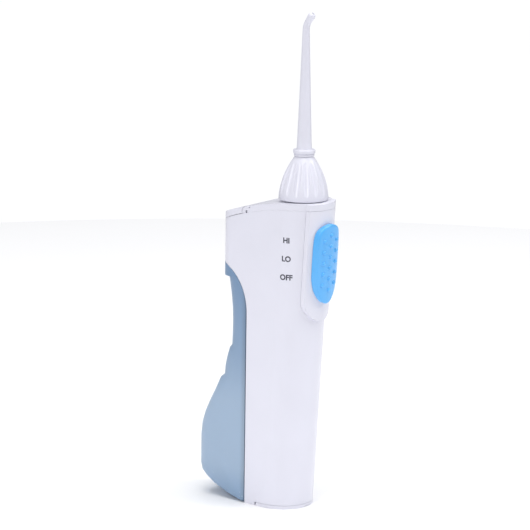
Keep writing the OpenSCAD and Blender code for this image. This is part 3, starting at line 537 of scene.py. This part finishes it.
class FLOSSER_OT_button(bpy.types.Operator):
    """Builds the slide button with its rounded edge and raised grip nubs"""

    bl_idname = "flosser.button"
    bl_label = "Slide button"

    def execute(self, context):
        size = context.scene.flosser_button
        lean = Matrix.Rotation(SWITCH_LEAN, 4, "X")
        place = Matrix.Translation((0, AXIS_Y - ahead(SWITCH_Z), SWITCH_Z)) @ lean
        half, top, depth = size.half_width, size.length / 2, 4.6 * MM
        side = [
            (0, top), (half * 0.5, top - 1.1 * MM), (half * 1.01, top - 4.5 * MM), (half, -4 * MM),
            (half * 0.99, 14 * MM - top), (half * 0.84, 7 * MM - top), (half * 0.42, 1.3 * MM - top),
        ]
        corners = side + [(0, -top - 0.4 * MM)] + [(-x, z) for x, z in side[:0:-1]]
        bm = bmesh.new()
        bmesh.ops.contextual_create(bm, geom=[bm.verts.new((x, 0, z)) for x, z in corners])
        bmesh.ops.subdivide_edges(bm, edges=bm.edges, cuts=5)
        for _ in range(7):
            bmesh.ops.smooth_vert(bm, verts=bm.verts, factor=0.5, use_axis_x=True, use_axis_z=True)
        raised = bmesh.ops.extrude_face_region(bm, geom=bm.faces[:])["geom"]
        face = [f for f in raised if isinstance(f, bmesh.types.BMFace)]
        bmesh.ops.translate(bm, vec=(0, -depth, 0), verts=[v for v in raised if isinstance(v, bmesh.types.BMVert)])
        rim = list({e for f in face for e in f.edges})
        bmesh.ops.bevel(bm, geom=rim, offset=size.edge, segments=6, profile=0.5, affect="EDGES", material=-1)
        for x in range(-8, 9):  # strips 1 mm wide, so that the face can bend
            parts = bm.verts[:] + bm.edges[:] + bm.faces[:]
            bmesh.ops.bisect_plane(bm, geom=parts, plane_co=(x * MM, 0, 0), plane_no=(1, 0, 0))
        for v in bm.verts:
            low, high = self.base(v.co.x), self.face(size, v.co.x)
            v.co = place @ Vector((v.co.x, low + (high - low) * -v.co.y / depth, v.co.z))
        bmesh.ops.recalc_face_normals(bm, faces=bm.faces)
        pitch = 6.35 * MM
        spots = [(0, -15 * MM + pitch * k) for k in range(6)]
        spots += [(s * 5.4 * MM, -11.8 * MM + pitch * k) for s in (-1, 1) for k in range(5)]
        flatten = Matrix.Diagonal((1, 0.95, 1, 1))
        for x, z in spots:
            middle = Matrix.Translation((x, self.face(size, x) + 0.15 * MM, z))
            bmesh.ops.create_uvsphere(
                bm, u_segments=24, v_segments=14, radius=size.nub, matrix=place @ middle @ flatten
            )
        stem = Matrix.Translation((0, 0.2 * MM, 0)) @ Matrix.Diagonal((3 * MM, 5.4 * MM, 4 * MM, 1))
        bmesh.ops.create_cube(bm, size=1, matrix=place @ stem)
        finish_piece("button_face", bm, MATERIALS["switch_blue"], "slider", ["slide_button"])
        return {"FINISHED"}

    def base(self, x):
        """Depth of the button's underside, a gap above the round panel."""
        radius = HALF_WIDTH + PANEL_LIFT + BUTTON_GAP
        return -PANEL_LIFT - BUTTON_GAP + radius - math.sqrt(radius**2 - x**2)

    def face(self, size, x):
        """Depth of the gently crowned face."""
        return -PANEL_LIFT - size.face_lift + x * x / (60 * MM)


class FLOSSER_OT_legends(bpy.types.Operator):
    """Prints the switch positions on the casing's side, wrapped round its front"""

    bl_idname = "flosser.legends"
    bl_label = "Legends"

    def execute(self, context):
        sizes = context.scene.flosser_legends
        for row, words in enumerate(("HI", "LO", "OFF")):
            font = bpy.data.curves.new("legend_font", "FONT")
            font.body = words
            font.align_x = "CENTER"
            font.align_y = "CENTER"
            font.size = sizes.letter_height / 0.7
            font.offset = 0.14 * MM
            font.extrude = 0.03 * MM
            holder = bpy.data.objects.new("legend_holder", font)
            context.scene.collection.objects.link(holder)
            mesh = holder.evaluated_get(context.evaluated_depsgraph_get()).to_mesh()
            bm = bmesh.new()
            bm.from_mesh(mesh)
            holder.to_mesh_clear()
            bpy.data.objects.remove(holder)
            bmesh.ops.remove_doubles(bm, verts=bm.verts, dist=0.002 * MM)
            middle = sizes.top_height - row * sizes.pitch
            for v in bm.verts:
                v.co = self.wrap(v.co.x - sizes.back, middle + v.co.y, v.co.z)
            bmesh.ops.recalc_face_normals(bm, faces=bm.faces)
            finish_piece("legend_" + words.lower(), bm, MATERIALS["legend_ink"], "housing")
        return {"FINISHED"}

    def wrap(self, forward, z, lift):
        """A point on the casing's left side: forward runs towards the switch along the surface."""
        nose = AXIS_Y + HALF_WIDTH - ahead(z)
        y = AXIS_Y - forward
        radius = HALF_WIDTH + lift + LETTER_LIFT
        if y >= nose:
            return Vector((-radius, y, z))
        turn = (nose - y) / HALF_WIDTH
        return Vector((-radius * math.cos(turn), nose - radius * math.sin(turn), z))


class FLOSSER_OT_stage(bpy.types.Operator):
    """Sets the pale floor, the soft lights and the camera"""

    bl_idname = "flosser.stage"
    bl_label = "Stage"

    def execute(self, context):
        bm = bmesh.new()
        bmesh.ops.create_circle(bm, cap_ends=True, segments=96, radius=0.85)
        mesh = bpy.data.meshes.new("floor")
        bm.to_mesh(mesh)
        bm.free()
        floor = bpy.data.objects.new("floor", mesh)
        context.scene.collection.objects.link(floor)
        material, n, out = new_material("floor_pale")
        where = n.add("ShaderNodeTexCoord").outputs["Object"]
        mottle = n.add("ShaderNodeTexNoise", {"Vector": where, "Scale": 9.0, "Detail": 2.0})
        rough = n.add("ShaderNodeMapRange", {"Value": mottle.outputs["Fac"], "To Min": 0.75, "To Max": 0.9})
        sheet = n.add(
            "ShaderNodeBsdfPrincipled",
            {"Base Color": (*context.scene.flosser_colours.floor, 1), "Roughness": rough.outputs[0]},
        )
        n.tree.links.new(sheet.outputs[0], out.inputs["Surface"])
        dress(floor, material)
        for lamp in LIGHTS:
            self.light(*lamp)
        world = bpy.data.worlds.new("studio")
        world.use_nodes = True
        world.node_tree.nodes.clear()
        w = Nodes(world.node_tree)
        seen = w.add("ShaderNodeLightPath").outputs["Is Camera Ray"]
        strength = w.add("ShaderNodeMapRange", {"Value": seen, "To Min": 0.3, "To Max": 1.03}).outputs["Result"]
        sky = w.add("ShaderNodeBackground", {"Color": (0.98, 0.985, 1.0, 1), "Strength": strength})
        w.tree.links.new(sky.outputs[0], w.add("ShaderNodeOutputWorld").inputs["Surface"])
        context.scene.world = world
        context.scene.view_settings.view_transform = "Standard"
        self.camera(context, context.scene.flosser_stage)
        return {"FINISHED"}

    def light(self, name, place, size, power, colour):
        data = bpy.data.lights.new(name, "AREA")
        data.size = size
        data.energy = power
        data.color = colour
        lamp = bpy.data.objects.new(name, data)
        lamp.location = place
        aim = LIGHT_AIM - Vector(place)
        lamp.rotation_euler = aim.to_track_quat("-Z", "Y").to_euler()
        bpy.context.scene.collection.objects.link(lamp)

    def camera(self, context, view):
        a, e = view.azimuth, view.elevation
        right = Vector((math.cos(a), math.sin(a), 0))
        target = Vector((0, AXIS_Y, AIM_HEIGHT)) - AIM_SIDE * right
        towards = Vector((math.sin(a) * math.cos(e), -math.cos(a) * math.cos(e), math.sin(e)))
        data = bpy.data.cameras.new("camera")
        data.sensor_width = 36
        data.lens = data.sensor_width * view.distance / view.view_width
        data.clip_end = 30
        camera = bpy.data.objects.new("camera", data)
        camera.location = target + view.distance * towards
        look = (-towards).to_track_quat("-Z", "Y")
        camera.rotation_euler = (look.to_matrix() @ Matrix.Rotation(view.roll, 3, "Z")).to_euler()
        context.scene.collection.objects.link(camera)
        context.scene.camera = camera


class FLOSSER_PT_panel(bpy.types.Panel):
    bl_idname = "FLOSSER_PT_panel"
    bl_label = "Water flosser"
    bl_space_type = "VIEW_3D"
    bl_region_type = "UI"
    bl_category = "Flosser"

    def draw(self, context):
        for operator in OPERATORS:
            self.layout.operator(operator.bl_idname)


OPERATORS = (
    FLOSSER_OT_surfaces, FLOSSER_OT_tank, FLOSSER_OT_jet_tip, FLOSSER_OT_button, FLOSSER_OT_legends, FLOSSER_OT_stage,
)
SETTINGS = {
    "flosser_colours": FLOSSER_PG_colours,
    "flosser_tip": FLOSSER_PG_tip,
    "flosser_button": FLOSSER_PG_button,
    "flosser_legends": FLOSSER_PG_legends,
    "flosser_stage": FLOSSER_PG_stage,
}


def register():
    for cls in (*SETTINGS.values(), *OPERATORS, FLOSSER_PT_panel):
        bpy.utils.register_class(cls)
    for name, group in SETTINGS.items():
        setattr(bpy.types.Scene, name, bpy.props.PointerProperty(type=group))


def unregister():
    for name in SETTINGS:
        delattr(bpy.types.Scene, name)
    for cls in reversed((*SETTINGS.values(), *OPERATORS, FLOSSER_PT_panel)):
        bpy.utils.unregister_class(cls)


def main():
    register()
    bpy.ops.flosser.surfaces()
    bpy.ops.flosser.tank()
    bpy.ops.flosser.jet_tip()
    bpy.ops.flosser.button()
    bpy.ops.flosser.legends()
    bpy.ops.flosser.stage()


if __name__ == "__main__":
    main()
